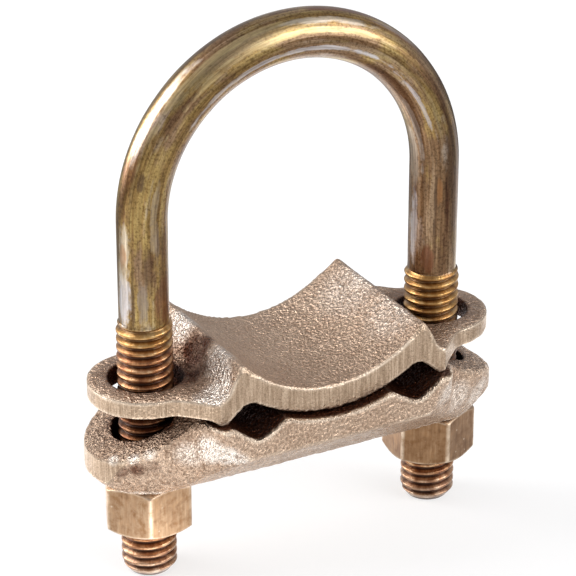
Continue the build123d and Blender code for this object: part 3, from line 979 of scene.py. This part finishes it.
def nut_material(name, tan_stops, brown_start):
    """Machined bronze, tarnished tan and brown, with upright streaks. A low brown start gives more brown."""
    s = Surface(name)
    place = s.place()
    streaks = s.noise(s.stretch(place, (1, 1, 0.12)), 0.6 * MM, detail=4.0, rough=0.65)
    patches = s.noise(place, 3.5 * MM, detail=4.0, rough=0.6)
    blotches = s.noise(place, 1.8 * MM, detail=4.0, rough=0.65)
    brown_share = s.scaled(patches, brown_start, brown_start + 0.14, 0.0, 1.0)
    colour = s.mix(brown_share, s.ramp(streaks, tan_stops), s.ramp(streaks, NUT_BROWN))
    # Painted light and shade: each facet lighter or darker by its share
    tone = s.attribute("tone")
    grey = s.add("ShaderNodeCombineColor", {"Red": tone, "Green": tone, "Blue": tone})
    colour = s.tint(colour, grey.outputs["Color"])
    # Pale worn corners and chamfer rims, lightened also as a painted highlight
    edges = s.times(s.attribute("wear"), s.scaled(patches, 0.38, 0.6, 0.25, 1.0))
    colour = s.mix(s.times(edges, 0.8), colour, NUT_EDGE)
    colour = s.mix(s.scaled(s.cells(place, 2.6 * MM), 0.05, 0.09, 0.45, 0.0), colour, NUT_SPOT)
    colour = s.tint(colour, s.ramp(blotches, NUT_MOTTLE))
    rough = s.scaled(patches, 0.3, 0.7, 0.26, 0.42)
    return s.finish(base_color=colour, roughness=rough, metallic=0.97, normal=s.bump(streaks, 0.05 * MM))


# Stage: sizes in metres, levels of grey light
FLOOR_HALF_SIZE = 3.0
FLOOR_GREY = (0.42, 0.42, 0.42)
FLOOR_GLOW = 0.62
SIDE_REACH = 0.2
LEFT_LEVEL = 1.0
RIGHT_LEVEL = 0.42
STOPS_PER_METRE = 5.0
RING_LEVELS = ((0.0, 0.15), (0.2, 0.2), (0.36, 0.5), (0.5, 0.45), (0.7, 0.0))
BEHIND_LEVELS = ((0.05, 0.0), (0.15, 0.9), (0.3, 0.9), (0.5, 0.0))
FALL_OFF = ((0.2, 1.0), (0.5, 0.35))
CARD_PLACE = (-0.036, -0.024, 0)
CARD_STOPS_PER_METRE = 20.0
CARD_LEVELS = ((0.2, 2.2), (0.5, 0.0))
SKY_LEVELS = ((0.0, 0.6), (0.3, 0.6), (0.6, 0.5), (1.0, 0.45))
SKY_BLUE = 1.03
LAMP_DISTANCE = 0.8
# Name, azimuth and elevation in degrees, size in metres, watts
LAMPS = (
    ("left_back", -122, 31, 0.58, 5.6),
    ("left_low", -143, 4, 0.3, 1.8),
    ("right_front", 38, 28, 0.62, 4.3),
)


def make_floor():
    """A plain floor that is white with a faint shadow for the camera.

    In reflections it is brighter on the left, with a ring of light, a band behind and a card by the left leg.
    """
    size = FLOOR_HALF_SIZE
    corners = [(-size, -size, 0), (size, -size, 0), (size, size, 0), (-size, size, 0)]
    floor = new_object("floor", corners, [(0, 1, 2, 3)], smooth=False)
    material = bpy.data.materials.new("floor_white")
    material.use_nodes = True
    n = Nodes(material.node_tree, "ShaderNodeOutputMaterial")
    place = n.place()
    axis = n.split(place)
    middle = n.add("ShaderNodeVectorMath", {0: place}, operation="LENGTH")
    card = n.add("ShaderNodeVectorMath", {0: place, 1: CARD_PLACE}, operation="DISTANCE")
    from_middle = n.times(middle.outputs["Value"], STOPS_PER_METRE)
    from_card = n.times(card.outputs["Value"], CARD_STOPS_PER_METRE)
    behind = n.times(axis["Y"], STOPS_PER_METRE)
    sides = n.scaled(axis["X"], -SIDE_REACH, SIDE_REACH, LEFT_LEVEL, RIGHT_LEVEL)
    level = n.plus(n.levels(from_middle, RING_LEVELS), n.times(sides, n.levels(behind, FALL_OFF)))
    level = n.plus(level, n.levels(behind, BEHIND_LEVELS))
    level = n.plus(level, n.levels(from_card, CARD_LEVELS))
    diffuse = n.add("ShaderNodeBsdfDiffuse", {"Color": FLOOR_GREY})
    glow = n.add("ShaderNodeEmission", {"Strength": FLOOR_GLOW})
    seen = n.add("ShaderNodeAddShader", {0: diffuse.outputs[0], 1: glow.outputs[0]})
    n.seen_or_mirrored(seen, n.add("ShaderNodeEmission", {"Strength": level}))
    floor.data.materials.append(material)


def make_world():
    """White for the camera, and for light and reflections a dim studio that is darker overhead."""
    world = bpy.data.worlds.new("studio")
    bpy.context.scene.world = world
    world.use_nodes = True
    n = Nodes(world.node_tree, "ShaderNodeOutputWorld")
    height = n.split(n.place("Generated"))["Z"]
    sky = n.ramp(height, [(position, (level, level, level * SKY_BLUE)) for position, level in SKY_LEVELS])
    white = n.add("ShaderNodeBackground", {"Color": (1, 1, 1)})
    n.seen_or_mirrored(white, n.add("ShaderNodeBackground", {"Color": sky}))


def direction(azimuth, elevation):
    """Unit vector from the object towards a place at that azimuth and elevation, in degrees."""
    a, e = math.radians(azimuth), math.radians(elevation)
    return Vector((math.sin(a) * math.cos(e), -math.cos(a) * math.cos(e), math.sin(e)))


def add_facing(name, data, place, target):
    """A lamp or camera that stands at a place and points at a target."""
    made = bpy.data.objects.new(name, data)
    bpy.context.scene.collection.objects.link(made)
    made.location = place
    made.rotation_mode = "QUATERNION"
    made.rotation_quaternion = (Vector(target) - made.location).to_track_quat("-Z", "Y")
    return made


def add_lamp(name, azimuth, elevation, size, watts):
    """A square softbox that faces the connector."""
    data = bpy.data.lights.new(name, "AREA")
    data.shape = "SQUARE"
    data.size = size
    data.energy = watts
    middle = (cad_low + cad_high) / 2
    add_facing(name, data, middle + direction(azimuth, elevation) * LAMP_DISTANCE, middle)


def make_camera():
    """The photograph's camera."""
    data = bpy.data.cameras.new("camera")
    data.sensor_width = SENSOR_WIDTH
    data.lens = CAMERA_LENS
    data.clip_start = 0.01
    data.clip_end = 20
    place = Vector(CAMERA_AIM) + direction(CAMERA_AZIMUTH, CAMERA_ELEVATION) * CAMERA_DISTANCE
    bpy.context.scene.camera = add_facing("camera", data, place, CAMERA_AIM)


# Build and dress

bolt = make_bolt()
bolt.data.materials.append(rod_material())
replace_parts(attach(bolt, "bolt"), "u_bolt")

saddle = make_saddle()
saddle.data.materials.append(casting_material("saddle_bronze", SADDLE_SIDE_TONE))
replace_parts(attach(saddle, "saddle"), "pipe_saddle")

keeper = make_keeper()
keeper.data.materials.append(casting_material("keeper_bronze"))
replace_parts(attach(keeper, "keeper"), "cable_keeper")

# Side, bearing of a corner in degrees, seed of its dents, colours, where brown starts, painted shading of
# facets
nut_looks = (("left", 7.3, 20, LEFT_TAN, 0.56, LEFT_TONES), ("right", 25.5, 21, RIGHT_TAN, 0.5, RIGHT_TONES))
for side, corner, seed, stops, brown_start, tones in nut_looks:
    nut = make_nut(f"nut_{side}", f"nut_{side}_hexagon", math.radians(corner), seed, tones)
    nut.data.materials.append(nut_material(f"nut_{side}_tarnish", stops, brown_start))
    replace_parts(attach(nut, f"{side}_nut"), f"nut_{side}")

make_floor()
make_world()
for lamp in LAMPS:
    add_lamp(*lamp)
make_camera()
bpy.context.scene.view_settings.view_transform = "Standard"
